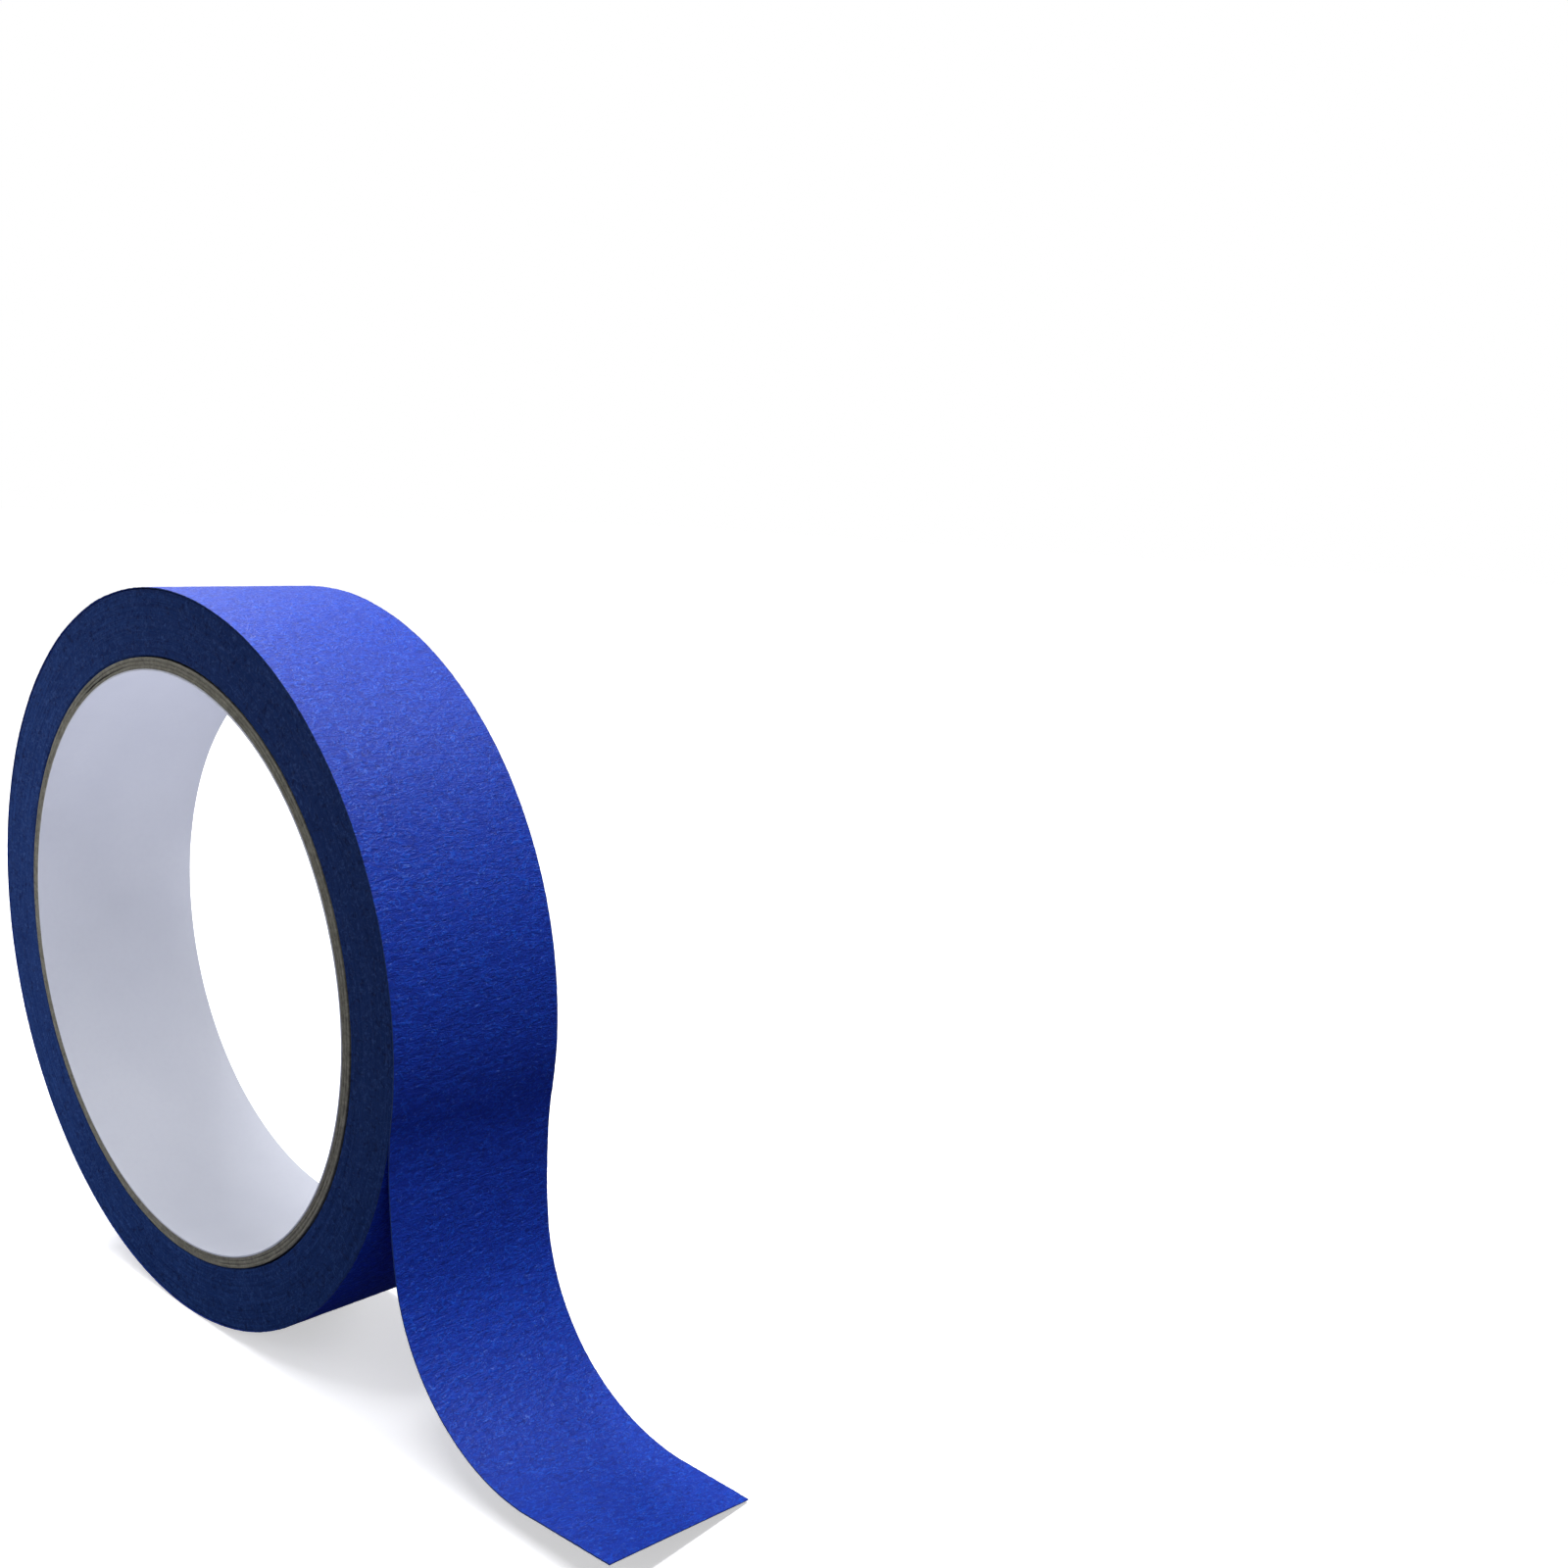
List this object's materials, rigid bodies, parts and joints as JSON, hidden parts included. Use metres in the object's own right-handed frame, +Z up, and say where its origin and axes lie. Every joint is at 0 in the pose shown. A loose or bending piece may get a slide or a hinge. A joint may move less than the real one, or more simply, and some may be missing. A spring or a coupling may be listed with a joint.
{
  "type": "masking tape roll",
  "caption": "Masking tape roll standing on its tread: paper tape wound on a laminated paper core, with a free end that hangs off the front and bends out along the floor.",
  "frame": {"origin": "on the surface the roll stands on, under the middle of the whole object with its free end", "axes": "+X towards the free end, +Y along the roll's axis, +Z up"},
  "size_m": [0.1346, 0.024, 0.0977],
  "materials": {
    "liner_paper": "smooth pale lining paper",
    "grey_board": "cut edge of grey chipboard",
    "wound_tape": "matt slit edges of wound paper tape",
    "crepe_backing": "creped paper with a satin release coat",
    "adhesive": "thin tacky coat, smooth satin"
  },
  "bodies": {
    "wound_roll": {"core_liner": "liner_paper", "core_ply_inner": "grey_board", "core_ply_middle": "grey_board", "core_ply_outer": "grey_board", "tape_pack": "wound_tape"},
    "outer_turn": {"last_turn": "crepe_backing"},
    "free_end": {"tape_tail": "crepe_backing", "tail_adhesive": "adhesive"}
  },
  "joints": [
    {"name": "unwind", "type": "hinge", "parent": "wound_roll", "child": "outer_turn", "pos_m": [-0.01841, 0, 0.04887], "axis": [0, -1, 0], "continuous": true},
    {"name": "free_end_lift", "type": "hinge", "parent": "outer_turn", "child": "free_end", "pos_m": [0.02995, 0, 0.04035], "axis": [0, -1, 0], "range_deg": [0, 80]}
  ]
}
